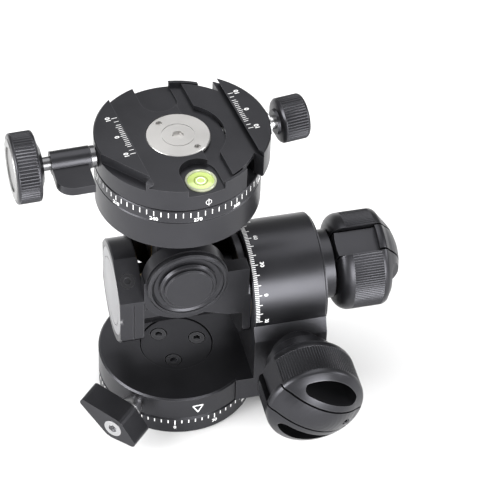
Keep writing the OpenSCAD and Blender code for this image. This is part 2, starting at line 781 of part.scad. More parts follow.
module roll_shaft() {
    color(steel) {
        along_front(0, arm_face, roll_z) cylinder(r = roll_shaft_r, h = 2 * arm_face + 1);
        along_front(0, arm_face + face_gap + shaft_head_h, roll_z) bevelled(shaft_head_r, 0, shaft_head_h, 0.4);
        along_front(0, arm_face + face_gap + eps, roll_z) cylinder(r = roll_shaft_r, h = 1);
    }
}

module roll_flange() {
    color(black) along_front(0, -arm_face - face_gap, roll_z) rotate_extrude($fn = 96) polygon([
        [roll_shaft_r + set_fit, 0], [flange_r, 0], [flange_r, 1.6], [flange_r - 0.6, 2.2],
        [flange_r - 1.3, 2.2], [flange_r - 1.6, 1.7], [flange_r - 2.4, 1.2], [cap_r + 1.6, 1.2],
        [cap_r + 1.6, 2.2], [cap_r + 1, 3], [cap_r + set_fit, 3], [cap_r + set_fit, 2], [roll_shaft_r + set_fit, 2]]);
}

module roll_cap() {
    color(black) along_front(0, -arm_face - face_gap - 2, roll_z) bevelled(cap_r, 0, 2.2, 0.5);
}

module roll_wheel() {
    color(bronze) translate([0, 0, roll_z]) rotate([90, 0, 0]) difference() {
        intersection() {
            toothed_wheel(roll_teeth, -90);
            translate([0, 0, -wheel_w]) linear_extrude(2 * wheel_w) union() {
                circle(r = sector_half);
                translate([-sector_half, -2 * roll_wheel_r]) square([2 * sector_half, 2 * roll_wheel_r]);
            }
        }
        translate([0, 0, -wheel_w]) cylinder(r = roll_shaft_r + set_fit, h = 2 * wheel_w);
    }
}

module roll_cradle() {
    top = ring_z - plate_h;
    color(black) difference() {
        union() {
            for (side = [-1, 1]) translate([0, side < 0 ? -cheek_out : cheek_in, 0]) {
                translate([0, cheek_out - cheek_in, roll_z]) rotate([90, 0, 0])
                    cylinder(r = cheek_r, h = cheek_out - cheek_in);
                translate([-neck_half, 0, roll_z]) cube([2 * neck_half, cheek_out - cheek_in, top - roll_z]);
            }
            translate([-neck_half, -cheek_out, roll_z + roll_wheel_r + 1.4])
                cube([2 * neck_half, 2 * cheek_out, top - roll_z - roll_wheel_r - 1.4]);
            translate([0, 0, top]) bevelled(plate_r, 0, plate_h, 0.5);
        }
        along_front(0, arm_face, roll_z) cylinder(r = roll_shaft_r + set_fit, h = 2 * arm_face);
        around(cradle_screw_ring_r, 4, 0) {
            translate([0, 0, top - 1]) cylinder(r = m3_r + set_fit, h = plate_h + 2, $fn = 32);
            translate([0, 0, top - 1]) cylinder(r = m3_head_r + head_room, h = 2.8);
        }
    }
}

module cradle_screws() {
    color(steel) around(cradle_screw_ring_r, 4, 0) translate([0, 0, ring_z - plate_h + 0.2])
        rotate([180, 0, 0]) socket_screw(m3_r, m3_head_r, m3_head_h, 8);
}

module clamp_ring() {
    band = 5.4;
    color(black) difference() {
        rotate_extrude($fn = 128) polygon([[0, ring_z], [clamp_r - 0.8, ring_z], [clamp_r, ring_z + 0.8],
            [clamp_r, ring_top - band - 0.35], [clamp_r - 0.35, ring_top - band],
            [clamp_r, ring_top - band + 0.35], [clamp_r, ring_top - 0.3], [clamp_r - 0.3, ring_top],
            [0, ring_top]]);
        translate([0, 0, ring_z + 6]) cylinder(r = clamp_spindle_r + set_fit, h = clamp_ring_h);
        translate([0, 0, ring_top - glide_sink]) tube(clamp_glide_out, clamp_glide_in, 1);
        around(cradle_screw_ring_r, 4, 0)
            translate([0, 0, ring_z - 1]) cylinder(r = m3_r + set_fit, h = 7.4, $fn = 32);
    }
}

module clamp_glide_ring() {
    color(nylon) translate([0, 0, ring_top - glide_sink])
        tube(clamp_glide_out - 0.1, clamp_glide_in + 0.1, 2 * glide_sink + ring_gap - run_fit);
}

module clamp_spindle() {
    color(steel) translate([0, 0, ring_z + 6]) cylinder(r = clamp_spindle_r, h = floor_z - disc_h - ring_z - 6);
}

module clamp_disc() {
    color(silver) translate([0, 0, floor_z - disc_h]) difference() {
        bevelled(disc_r, 0, disc_h, 0.3);
        translate([0, 0, disc_h - 0.25]) tube(6.05, 5.75, 1);
        translate([0, 0, 0.4]) cylinder(r = 2.3, h = 3, $fn = 6);
        for (side = [0, 180]) rotate([0, 0, hole_angle + side]) translate([9.2, 0, 0.5])
            cylinder(r = 1.15, h = 3, $fn = 32);
    }
}

// ---- Clamp body, jaw and knobs; in the clamp's own frame +X points to the moving jaw ----

module in_clamp() { rotate([0, 0, clamp_turn]) children(); }

// Space for a dovetail plate above the floor, between lips that lean inwards
module plate_space(left, right) {
    rotate([90, 0, 0]) translate([0, 0, -past]) linear_extrude(2 * past) polygon([
        [-left - lip_h * lip_lean, floor_z], [right + lip_h * lip_lean, floor_z],
        [right + lip_edge, lip_z - lip_edge], [right + lip_edge, lip_z + 1],
        [-left - lip_edge, lip_z + 1], [-left - lip_edge, lip_z - lip_edge]]);
}

// A round-ended pocket in the floor, open at the rim
module rim_pocket(side) {
    translate([0, side * pocket_y, floor_z - pocket_h]) {
        cylinder(r = pocket_r, h = past);
        translate([-pocket_r, side < 0 ? -past : 0, 0]) cube([2 * pocket_r, past, past]);
    }
}

module clamp_body() {
    color(black) in_clamp() difference() {
        bevelled(clamp_r, body_z, lip_z, 0.5);
        plate_space(closed_lip, 2 * clamp_r);
        // seat of the moving jaw, inside a thin rim
        intersection() {
            translate([strip_x - jaw_open - seat_gap, -past, floor_z - strip_h - seat_drop])
                cube([past, 2 * past, past]);
            cylinder(r = clamp_r - seat_rim, h = lip_z);
        }
        translate([jaw_wall_x - jaw_open, -past, body_z - 1]) cube([past, 2 * past, past]);
        // the front end of the fixed jaw is cut off at an angle
        translate([jaw_cut_at[0], jaw_cut_at[1], floor_z - jaw_cut_sink]) rotate([0, 0, -jaw_end_angle])
            translate([-jaw_cut_back, -jaw_cut[1], 0]) cube([jaw_cut[0], jaw_cut[1], past]);
        // pockets at the front, for the level, and at the back
        for (side = [-1, 1]) rim_pocket(side);
        // spindle, its disc and the glide ring
        translate([0, 0, body_z - 1]) cylinder(r = clamp_spindle_r + run_fit, h = clamp_h + 1);
        translate([0, 0, floor_z - disc_h - run_fit]) cylinder(r = disc_r + disc_fit, h = past);
        translate([0, 0, body_z - 1]) tube(clamp_glide_out, clamp_glide_in, 1 + glide_sink);
        // round level
        translate([0, level_y, floor_z - level_drop]) cylinder(r = level_r + set_fit, h = past);
        // jaw screw and guide pins
        along_x(clamp_spindle_r - 0.5, jaw_z) cylinder(r = jaw_screw_r + run_fit, h = past);
        for (side = [-1, 1]) translate([0, side * pin_y, 0])
            along_x(pin_start - 0.5, jaw_z) cylinder(r = pin_r + set_fit, h = past, $fn = 32);
        // pan lock screw and its pad
        rotate([0, 0, pan_knob_turn - clamp_turn]) {
            along_x(-clamp_r - 1, lock_knob_z) cylinder(r = lock_screw_r + run_fit, h = clamp_r);
            along_x(-16, lock_knob_z) cylinder(r = lock_pad_r + set_fit, h = 10);
        }
    }
}

module jaw_guide_pins() {
    pin_end = jaw_wall_x + face_gap + pin_grip;
    color(steel) in_clamp() for (side = [-1, 1]) translate([0, side * pin_y, 0])
        along_x(pin_start, jaw_z) cylinder(r = pin_r, h = pin_end - pin_start, $fn = 32);
}

module round_level() {
    color([0.80, 0.90, 0.35]) in_clamp() translate([0, level_y, floor_z - level_drop]) difference() {
        bevelled(level_r, 0, 3.4, 0.3);
        translate([0, 0, 3.2]) tube(level_r - 0.9, level_r - 1.2, 1);
    }
}

module moving_jaw() {
    wall_x = jaw_wall_x + face_gap;
    pin_hole = 1 + pin_grip + jaw_open + pin_room;
    color(black) in_clamp() difference() {
        union() {
            difference() {
                translate([outline_shift, 0, 0]) bevelled(clamp_r, body_z + run_fit, lip_z, 0.5);
                translate([wall_x - 2 * past, -past, 0]) cube([2 * past, 2 * past, 2 * lip_z]);
                translate([wall_x, jaw_tip_y, 0]) rotate([0, 0, -jaw_end_angle])
                    translate([-jaw_cut_back, -jaw_cut_back, 0])
                        cube([2 * jaw_cut_back, jaw_cut_back, 2 * lip_z]);
            }
            intersection() {
                translate([0, 0, floor_z - strip_h]) cylinder(r = strip_r, h = strip_h);
                translate([strip_x, -past, 0]) cube([wall_x - strip_x + 1, 2 * past, 2 * lip_z]);
            }
        }
        plate_space(2 * clamp_r, closed_lip + jaw_open);
        translate([0, 0, body_z]) cylinder(r = notch_r, h = past);
        along_x(wall_x - 1, jaw_z) cylinder(r = jaw_screw_r + run_fit, h = past);
        for (side = [-1, 1]) translate([0, side * pin_y, 0])
            along_x(wall_x - 1, jaw_z) cylinder(r = pin_r + run_fit, h = pin_hole, $fn = 32);
    }
}

module jaw_knob() {
    color(black) in_clamp() along_x(jaw_knob_start, jaw_z) difference() {
        rotate_extrude($fn = 64) polygon([[0, 0], [4.6, 0], [4.9, 1], [jaw_knob_r - 1.2, 1.2],
            [jaw_knob_r, 2.2], [jaw_knob_r, jaw_knob_len - 1], [jaw_knob_r - 1, jaw_knob_len],
            [0, jaw_knob_len]]);
        translate([0, 0, -1]) cylinder(r = jaw_screw_r + set_fit, h = jaw_knob_len - 1);
    }
}

module jaw_screw() {
    inner = clamp_spindle_r + jaw_open + 0.8;
    collar_start = clamp_r + outline_shift + face_gap;
    screw_collar_r = 4.2;
    screw_collar_h = 1.2;
    color(steel) in_clamp() along_x(inner, jaw_z) {
        cylinder(r = jaw_screw_r, h = jaw_knob_start - inner + jaw_knob_len - 3);
        translate([0, 0, collar_start - inner]) cylinder(r = screw_collar_r, h = screw_collar_h);
    }
}

// The pan lock's parts lie along +Z here, counted from the pan axis towards -X
module at_pan_knob() {
    rotate([0, 0, pan_knob_turn]) translate([0, 0, lock_knob_z]) rotate([0, -90, 0]) children();
}

module clamp_lock_pad() {
    color(nylon) at_pan_knob() difference() {
        translate([0, 0, clamp_spindle_r]) cylinder(r = lock_pad_r, h = lock_pad_len);
        rotate([0, 90, 0]) translate([0, 0, -10]) cylinder(r = clamp_spindle_r + run_fit, h = 20);
        // it clears the disc above it
        translate([floor_z - disc_h - 2 * run_fit - lock_knob_z, -10, 0]) cube([10, 20, disc_r + 0.2]);
    }
}

module clamp_lock_screw() {
    inner = clamp_spindle_r + lock_pad_len;
    color(steel) at_pan_knob() {
        translate([0, 0, inner]) cylinder(r = lock_screw_r, h = pan_knob_reach + pan_knob_len - 3 - inner);
        translate([0, 0, clamp_r + 0.3]) cylinder(r = 4, h = 1.6, $fn = 32);
    }
}

module clamp_lock_lever() {
    start = clamp_r + 2.2;
    plate_start = clamp_r + 3.3;
    plate_end = plate_start + 12.9;
    thick = 3.3;
    corner = 6;
    reach = 15.6;
    color(black) at_pan_knob() difference() {
        union() {
            translate([0, 0, start]) cylinder(r = 4.2, h = plate_end - start);
            translate([-thick / 2 - 1, 0, 0]) rotate([90, 0, 90]) linear_extrude(thick) polygon(concat(
                [[2, plate_start], [2, plate_end]],
                arc(corner - reach, plate_end - corner, corner, 90, 180, 8),
                [[-reach, plate_start]]));
        }
        translate([0, 0, -1]) cylinder(r = lock_screw_r + run_fit, h = past);
    }
}

module clamp_lock_knob() {
    color(black) at_pan_knob() translate([0, 0, pan_knob_reach]) difference() {
        rotate_extrude($fn = 96) polygon([[0, 0], [6.5, 0], [pan_knob_r - 3, 1.4], [pan_knob_r - 0.8, 1.6],
            [pan_knob_r, 2.4], [pan_knob_r, pan_knob_len - 1], [pan_knob_r - 1, pan_knob_len],
            [0, pan_knob_len]]);
        translate([0, 0, -1]) cylinder(r = lock_screw_r + set_fit, h = pan_knob_len - 2 + eps);
        translate([0, 0, pan_knob_len - 1.6]) cylinder(r = pan_knob_r - insert_rim, h = 4);
    }
}

module clamp_lock_insert() {
    color(silver) at_pan_knob() translate([0, 0, pan_knob_reach + pan_knob_len - 1.6]) difference() {
        bevelled(pan_knob_r - insert_rim - set_fit, 0, 2, 0.3);
        translate([0, 0, 1.5]) cylinder(r = pan_knob_r - 4.6, h = 2);
    }
}

base_scale_ring();
pan_spindle();
mount_insert();
spindle_screws();
hub_plate();
hub_screws();
pan_glide_ring();
pan_thrust_washer();
pan_housing();
barrel_bush_left();
barrel_bush_right();
barrel_end_ring();
tilt_worm_bush_front();
tilt_worm_bush_rear();
pan_lock_shoe();
pan_lock_wing();
pan_lock_stem();
pan_lock_screw();
tilt_arm();
tilt_trunnion();
tilt_wheel();
arm_end_cap();
arm_side_screw();
roll_bush_front();
roll_bush_rear();
roll_worm_bush_left();
roll_worm_bush_right();
tilt_worm();
tilt_knob_core();
tilt_knob_set_screw();
tilt_knob_springs();
tilt_knob_wing_upper();
tilt_knob_wing_lower();
roll_worm();
roll_knob_core();
roll_knob_set_screw();
roll_knob_springs();
roll_knob_wing_upper();
roll_knob_wing_lower();
roll_shaft();
roll_flange();
roll_cap();
roll_wheel();
roll_cradle();
cradle_screws();
clamp_ring();
clamp_spindle();
clamp_disc();
clamp_glide_ring();
clamp_body();
jaw_guide_pins();
round_level();
clamp_lock_pad();
moving_jaw();
jaw_knob();
jaw_screw();
clamp_lock_knob();
clamp_lock_insert();
clamp_lock_screw();
clamp_lock_lever();
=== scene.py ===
import json
import math

import bmesh
import bpy
from mathutils import Matrix, Vector


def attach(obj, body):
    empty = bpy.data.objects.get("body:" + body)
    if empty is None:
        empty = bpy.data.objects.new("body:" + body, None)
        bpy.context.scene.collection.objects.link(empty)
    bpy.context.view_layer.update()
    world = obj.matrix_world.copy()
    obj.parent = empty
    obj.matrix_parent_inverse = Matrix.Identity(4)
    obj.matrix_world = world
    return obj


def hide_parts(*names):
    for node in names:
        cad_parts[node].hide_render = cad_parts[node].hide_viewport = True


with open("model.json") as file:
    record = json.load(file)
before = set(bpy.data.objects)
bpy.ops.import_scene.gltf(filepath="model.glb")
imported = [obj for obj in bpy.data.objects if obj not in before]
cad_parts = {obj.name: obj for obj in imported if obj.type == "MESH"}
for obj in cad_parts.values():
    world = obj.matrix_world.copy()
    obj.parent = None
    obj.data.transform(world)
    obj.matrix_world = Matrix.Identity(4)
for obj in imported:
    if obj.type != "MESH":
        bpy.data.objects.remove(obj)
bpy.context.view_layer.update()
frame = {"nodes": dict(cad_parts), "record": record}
nodes = frame["nodes"]
mm = 0.001
mergeGap = 1e-7  # metres; closer points of one piece become one point
softAngle = math.radians(32)  # faces that meet at less than this are shaded as one
print("frame loaded:", len(nodes), "nodes")


def newGroup(name, inputs, outputs):
    group = bpy.data.node_groups.new(name, "ShaderNodeTree")
    for label, kind, value in inputs:
        item = group.interface.new_socket(name=label, in_out="INPUT", socket_type=kind)
        item.default_value = value
    for label, kind in outputs:
        group.interface.new_socket(name=label, in_out="OUTPUT", socket_type=kind)
    return group, group.nodes.new("NodeGroupInput"), group.nodes.new("NodeGroupOutput")


def grainGroup():
    # fine blasted grain: a value for colour and roughness, and a bumped normal
    group, source, sink = newGroup(
        "blastedGrain",
        [("Scale", "NodeSocketFloat", 2600.0), ("Strength", "NodeSocketFloat", 0.12)],
        [("Cloud", "NodeSocketFloat"), ("Normal", "NodeSocketVector")])
    coord = group.nodes.new("ShaderNodeTexCoord")
    fine = group.nodes.new("ShaderNodeTexNoise")
    cloud = group.nodes.new("ShaderNodeTexNoise")
    bump = group.nodes.new("ShaderNodeBump")
    fine.inputs["Detail"].default_value = 3
    cloud.inputs["Scale"].default_value = 60
    cloud.inputs["Detail"].default_value = 4
    bump.inputs["Distance"].default_value = 0.00006
    link = group.links.new
    link(coord.outputs["Object"], fine.inputs["Vector"])
    link(coord.outputs["Object"], cloud.inputs["Vector"])
    link(source.outputs["Scale"], fine.inputs["Scale"])
    link(source.outputs["Strength"], bump.inputs["Strength"])
    link(fine.outputs["Fac"], bump.inputs["Height"])
    link(cloud.outputs["Fac"], sink.inputs["Cloud"])
    link(bump.outputs["Normal"], sink.inputs["Normal"])
    return group


def edgeGroup():
    # 1 along sharp edges, where the finish is rubbed, and 0 on flat faces
    group, source, sink = newGroup(
        "rubbedEdges",
        [("Radius", "NodeSocketFloat", 0.0003)],
        [("Mask", "NodeSocketFloat")])
    bevel = group.nodes.new("ShaderNodeBevel")
    geometry = group.nodes.new("ShaderNodeNewGeometry")
    dot = group.nodes.new("ShaderNodeVectorMath")
    dot.operation = "DOT_PRODUCT"
    spread = group.nodes.new("ShaderNodeMapRange")
    spread.inputs["From Min"].default_value = 0.995
    spread.inputs["From Max"].default_value = 0.9
    link = group.links.new
    link(source.outputs["Radius"], bevel.inputs["Radius"])
    link(bevel.outputs["Normal"], dot.inputs[0])
    link(geometry.outputs["Normal"], dot.inputs[1])
    link(dot.outputs["Value"], spread.inputs["Value"])
    link(spread.outputs["Result"], sink.inputs["Mask"])
    return group


wearShare = 0.45  # how far a rubbed edge goes towards its wear colour
paleGrain = 0.04


def metalMaterial(name, dark, light, metallic, smooth, rough, grain, wear):
    # a metal with blasted grain, clouded tone and roughness, and rubbed edges
    material = bpy.data.materials.new(name)
    material.use_nodes = True
    tree = material.node_tree
    shader = tree.nodes["Principled BSDF"]
    shader.inputs["Metallic"].default_value = metallic
    grainNode = tree.nodes.new("ShaderNodeGroup")
    grainNode.node_tree = grains
    grainNode.inputs["Strength"].default_value = grain
    edgeNode = tree.nodes.new("ShaderNodeGroup")
    edgeNode.node_tree = edges
    tone = tree.nodes.new("ShaderNodeMix")
    tone.data_type = "RGBA"
    tone.inputs["A"].default_value = (*dark, 1)
    tone.inputs["B"].default_value = (*light, 1)
    rub = tree.nodes.new("ShaderNodeMix")
    rub.data_type = "RGBA"
    rub.inputs["B"].default_value = (*wear, 1)
    share = tree.nodes.new("ShaderNodeMath")
    share.operation = "MULTIPLY"
    share.inputs[1].default_value = wearShare
    spread = tree.nodes.new("ShaderNodeMapRange")
    spread.inputs["From Min"].default_value = 0.3
    spread.inputs["From Max"].default_value = 0.7
    spread.inputs["To Min"].default_value = smooth
    spread.inputs["To Max"].default_value = rough
    link = tree.links.new
    link(grainNode.outputs["Cloud"], tone.inputs["Factor"])
    link(tone.outputs["Result"], rub.inputs["A"])
    link(edgeNode.outputs["Mask"], share.inputs[0])
    link(share.outputs["Value"], rub.inputs["Factor"])
    link(rub.outputs["Result"], shader.inputs["Base Color"])
    link(grainNode.outputs["Cloud"], spread.inputs["Value"])
    link(spread.outputs["Result"], shader.inputs["Roughness"])
    link(grainNode.outputs["Normal"], shader.inputs["Normal"])
    return material


def paleMaterial(name, dark, light, smooth, rough, coat=0.0):
    # plastic, print or liquid with a clouded tone
    material = bpy.data.materials.new(name)
    material.use_nodes = True
    tree = material.node_tree
    shader = tree.nodes["Principled BSDF"]
    shader.inputs["Coat Weight"].default_value = coat
    grainNode = tree.nodes.new("ShaderNodeGroup")
    grainNode.node_tree = grains
    grainNode.inputs["Strength"].default_value = paleGrain
    tone = tree.nodes.new("ShaderNodeMix")
    tone.data_type = "RGBA"
    tone.inputs["A"].default_value = (*dark, 1)
    tone.inputs["B"].default_value = (*light, 1)
    spread = tree.nodes.new("ShaderNodeMapRange")
    spread.inputs["To Min"].default_value = smooth
    spread.inputs["To Max"].default_value = rough
    link = tree.links.new
    link(grainNode.outputs["Cloud"], tone.inputs["Factor"])
    link(tone.outputs["Result"], shader.inputs["Base Color"])
    link(grainNode.outputs["Cloud"], spread.inputs["Value"])
    link(spread.outputs["Result"], shader.inputs["Roughness"])
    link(grainNode.outputs["Normal"], shader.inputs["Normal"])
    return material


grains = grainGroup()
edges = edgeGroup()
looks = {
    "black_anodised": metalMaterial(
        "blackAnodised", dark=(0.034, 0.034, 0.038), light=(0.048, 0.048, 0.053),
        metallic=0.85, smooth=0.30, rough=0.40, grain=0.16, wear=(0.15, 0.15, 0.16)),
    "grey_anodised": metalMaterial(
        "greyAnodised", dark=(0.24, 0.24, 0.25), light=(0.30, 0.30, 0.31),
        metallic=0.9, smooth=0.30, rough=0.40, grain=0.12, wear=(0.40, 0.40, 0.41)),
    "turned_aluminium": metalMaterial(
        "turnedAluminium", dark=(0.50, 0.49, 0.48), light=(0.60, 0.59, 0.575),
        metallic=0.9, smooth=0.28, rough=0.38, grain=0.06, wear=(0.80, 0.80, 0.80)),
    "steel": metalMaterial(
        "machinedSteel", dark=(0.50, 0.50, 0.51), light=(0.62, 0.62, 0.63),
        metallic=1.0, smooth=0.22, rough=0.32, grain=0.06, wear=(0.80, 0.80, 0.80)),
    "dark_screw": metalMaterial(
        "blackenedSteel", dark=(0.05, 0.05, 0.055), light=(0.08, 0.08, 0.085),
        metallic=1.0, smooth=0.26, rough=0.38, grain=0.08, wear=(0.34, 0.34, 0.35)),
    "bright_screw": metalMaterial(
        "brightSteel", dark=(0.42, 0.42, 0.43), light=(0.54, 0.54, 0.55),
        metallic=1.0, smooth=0.20, rough=0.30, grain=0.05, wear=(0.90, 0.90, 0.90)),
    "bronze": metalMaterial(
        "machinedBronze", dark=(0.60, 0.43, 0.19), light=(0.72, 0.54, 0.27),
        metallic=1.0, smooth=0.26, rough=0.36, grain=0.06, wear=(0.86, 0.70, 0.42)),
    "nylon": paleMaterial(
        "naturalNylon", dark=(0.78, 0.76, 0.69), light=(0.86, 0.84, 0.77),
        smooth=0.40, rough=0.55),
    "level_liquid": paleMaterial(
        "levelLiquid", dark=(0.50, 0.64, 0.16), light=(0.60, 0.73, 0.25),
        smooth=0.08, rough=0.14, coat=1.0),
}
markPaint = paleMaterial(
    "markPaint", dark=(0.78, 0.78, 0.78), light=(0.88, 0.88, 0.88), smooth=0.45, rough=0.6)
levelRimLook = paleMaterial(
    "levelRim", dark=(0.30, 0.32, 0.22), light=(0.42, 0.44, 0.32),
    smooth=0.2, rough=0.3, coat=0.6)
levelLineLook = paleMaterial(
    "levelLine", dark=(0.16, 0.20, 0.04), light=(0.22, 0.26, 0.06), smooth=0.3, rough=0.4)

# pieces that are darker than the rest of their slot
darkerLooks = {
    # the lock insert's darker tone is painted shade: its silver end face takes the strong left
    # softbox, so it gets a darker colour than its slot
    "clamp_lock_insert": metalMaterial(
        "lockInsertPaintedShade", dark=(0.22, 0.22, 0.22), light=(0.29, 0.29, 0.285),
        metallic=0.9, smooth=0.30, rough=0.40, grain=0.06, wear=(0.50, 0.50, 0.50)),
    "clamp_lock_screw": metalMaterial(
        "lockStem", dark=(0.12, 0.12, 0.125), light=(0.17, 0.17, 0.175),
        metallic=1.0, smooth=0.24, rough=0.34, grain=0.06, wear=(0.40, 0.40, 0.40)),
    "barrel_end_ring": looks["black_anodised"],
}

for part in frame["record"]["subparts"]:
    look = darkerLooks.get(part["node"], looks[part["material_slot"]])
    nodes[part["node"]].material_slots[0].material = look
print("materials done")


# lengths are in millimetres until a piece is made

def addObject(name, data):
    thing = bpy.data.objects.new(name, data)
    bpy.context.scene.collection.objects.link(thing)
    return thing


def writeMesh(build, mesh):
    # the normals are turned outwards first
    bmesh.ops.recalc_face_normals(build, faces=build.faces)
    build.to_mesh(mesh)
    build.free()


def makePiece(name, points, faces, place, body, material):
    mesh = bpy.data.meshes.new(name)
    mesh.from_pydata([(place @ Vector(p)) * mm for p in points], [], faces)
    build = bmesh.new()
    build.from_mesh(mesh)
    bmesh.ops.remove_doubles(build, verts=build.verts, dist=mergeGap)
    writeMesh(build, mesh)
    mesh.materials.append(material)
    piece = addObject(name, mesh)
    mesh.shade_smooth()
    mesh.set_sharp_from_angle(angle=softAngle)
    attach(piece, body)
    return piece


def arcPoints(cx, cy, r, start, end, count):
    angles = [math.radians(start + (end - start) * i / count) for i in range(count + 1)]
    return [(cx + r * math.cos(a), cy + r * math.sin(a)) for a in angles]


onAxis = 1e-6  # a smaller radius counts as a point on the axis


def revolve(profile, steps, radiusAt):
    # profile is (radius, height) from the axis out and back; radiusAt gives the ribs
    points, faces, rings = [], [], []
    for r, z in profile:
        if r < onAxis:
            rings.append([len(points)])
            points.append((0, 0, z))
            continue
        rings.append(list(range(len(points), len(points) + steps)))
        for k in range(steps):
            a = 2 * math.pi * k / steps
            rr = radiusAt(r, z, a)
            points.append((rr * math.cos(a), rr * math.sin(a), z))
    for low, high in zip(rings, rings[1:]):
        for k in range(steps):
            n = (k + 1) % steps
            if len(low) == 1:
                faces.append((low[0], high[n], high[k]))
            elif len(high) == 1:
                faces.append((low[k], low[n], high[0]))
            else:
                faces.append((low[k], low[n], high[n], high[k]))
    return points, faces


def plainRadius(r, z, a):
    return r


def onCylinder(origin, axis, zero, radius):
    # u runs round the axis, v along it, w outwards
    along = Vector(axis).normalized()
    out = Vector(zero).normalized()
    side = along.cross(out)

    def place(u, v, w):
        a = u / radius
        radial = out * math.cos(a) + side * math.sin(a)
        return Vector(origin) + along * v + radial * (radius + w)
    return place


def roundMainAxis(degrees, radius):
    # the upright axis that the base and the clamp share; u is 0 at this angle
    a = math.radians(degrees)
    return onCylinder((0, 0, 0), (0, 0, 1), (math.cos(a), math.sin(a), 0), radius)


def onPlane(origin, right, up):
    across = Vector(right).normalized()
    ahead = Vector(up).normalized()
    normal = across.cross(ahead)

    def place(u, v, w):
        return Vector(origin) + across * u + ahead * v + normal * w
    return place


markSink, markProud = 0.03, 0.03  # a mark starts this far below the face and ends above it
strokeStep = 0.8
digitBold = 0.02  # share of the digits' height
digitSteps = 3


def addStroke(marks, place, start, end, width):
    # a printed bar from start to end, both (u, v), in short steps so that it follows a round face
    a, b = Vector((*start, 0)), Vector((*end, 0))
    side = Vector((-(b - a).y, (b - a).x, 0)).normalized() * width / 2
    count = max(1, math.ceil((b - a).length / strokeStep))
    rows = []
    for i in range(count + 1):
        c = a.lerp(b, i / count)
        rows.append([marks.verts.new(place(p.x, p.y, w) * mm)
                     for p, w in ((c + side, -markSink), (c - side, -markSink),
                                  (c - side, markProud), (c + side, markProud))])
    marks.faces.new(rows[0])
    marks.faces.new(rows[-1][::-1])
    for low, high in zip(rows, rows[1:]):
        for k in range(4):
            n = (k + 1) % 4
            marks.faces.new((low[k], high[k], high[n], low[n]))


def addPath(marks, place, points, width):
    for start, end in zip(points, points[1:]):
        addStroke(marks, place, start, end, width)


def addDigits(marks, place, words, at, height, turn=0.0):
    curve = bpy.data.curves.new("digits", "FONT")
    curve.body = words
    curve.size = height
    curve.align_x = "CENTER"
    curve.align_y = "CENTER"
    curve.extrude = markSink
    curve.offset = digitBold * height
    curve.resolution_u = digitSteps
    holder = addObject("digits", curve)
    shape = bpy.data.meshes.new_from_object(
        holder.evaluated_get(bpy.context.evaluated_depsgraph_get()))
    bpy.data.objects.remove(holder)
    bpy.data.curves.remove(curve)
    c, s = math.cos(math.radians(turn)), math.sin(math.radians(turn))
    for v in shape.vertices:
        x, y, z = v.co
        v.co = place(at[0] + x * c - y * s, at[1] + x * s + y * c, z) * mm
    marks.from_mesh(shape)
    bpy.data.meshes.remove(shape)


def finishMarks(marks, name, body):
    bmesh.ops.remove_doubles(marks, verts=marks.verts, dist=mergeGap)
    mesh = bpy.data.meshes.new(name)
    writeMesh(marks, mesh)
    mesh.materials.append(markPaint)
    piece = addObject(name, mesh)
    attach(piece, body)


baseScale = {"radius": 30.0, "zeroAngle": -103.0, "step": 5, "numberStep": 30,
             "top": 7.1, "short": 1.6, "long": 2.4, "width": 0.42,
             "numberHeight": 2.2, "numberZ": 3.3}


def baseScaleMarks(v):
    place = roundMainAxis(v["zeroAngle"], v["radius"])
    marks = bmesh.new()
    for value in range(0, 360, v["step"]):
        u = math.radians(value) * v["radius"]
        isMain = value % v["numberStep"] == 0
        tick = v["long"] if isMain else v["short"]
        addStroke(marks, place, (u, v["top"]), (u, v["top"] - tick), v["width"])
        if isMain:
            addDigits(marks, place, str(value), (u, v["numberZ"]), v["numberHeight"])
    finishMarks(marks, "base_scale_marks", "base")


basePointer = {"radius": 30.0, "angle": -86.2, "top": 14.3, "tip": 10.8, "half": 2.0,
               "width": 0.5}


def basePointerMarks(v):
    place = roundMainAxis(v["angle"], v["radius"])
    marks = bmesh.new()
    corners = [(-v["half"], v["top"]), (v["half"], v["top"]), (0, v["tip"])]
    addPath(marks, place, corners + corners[:1], v["width"])
    finishMarks(marks, "base_pointer_mark", "housing")


clampScale = {"radius": 30.0, "zeroAngle": -358.5, "step": 5, "numberStep": 30,
              "top": 114.5, "length": 2.2, "width": 0.3, "numberHeight": 2.1,
              "numberZ": 111.0}


def clampScaleMarks(v):
    place = roundMainAxis(v["zeroAngle"], v["radius"])
    marks = bmesh.new()
    for value in range(0, 360, v["step"]):
        u = math.radians(value) * v["radius"]
        addStroke(marks, place, (u, v["top"]), (u, v["top"] - v["length"]), v["width"])
        if value % v["numberStep"] == 0:
            addDigits(marks, place, str(value), (u, v["numberZ"]), v["numberHeight"])
    finishMarks(marks, "clamp_scale_marks", "roll_stage")


clampIndex = {"radius": 30.0, "angle": -81.2, "z": 118.3, "ring": 1.05, "sides": 20,
              "width": 0.18, "above": 1.5, "below": 1.7}  # the last two are in ring radii


def clampIndexMarks(v):
    place = roundMainAxis(v["angle"], v["radius"])
    marks = bmesh.new()
    z, ring = v["z"], v["ring"]
    addPath(marks, place, arcPoints(0, z, ring, 0, 360, v["sides"]), v["width"])
    addStroke(marks, place, (0, z + v["above"] * ring), (0, z - v["below"] * ring), v["width"])
    finishMarks(marks, "clamp_index_mark", "clamp")


barrelScale = {"radius": 22.2, "axisZ": 47.65, "edgeX": 25.4, "zeroAngle": 27.0,
               "from": -30, "to": 90, "step": 2, "mainStep": 10, "numberStep": 30,
               "short": 1.5, "long": 2.6, "width": 0.3, "numberHeight": 2.1,
               "numberGap": 1.5}


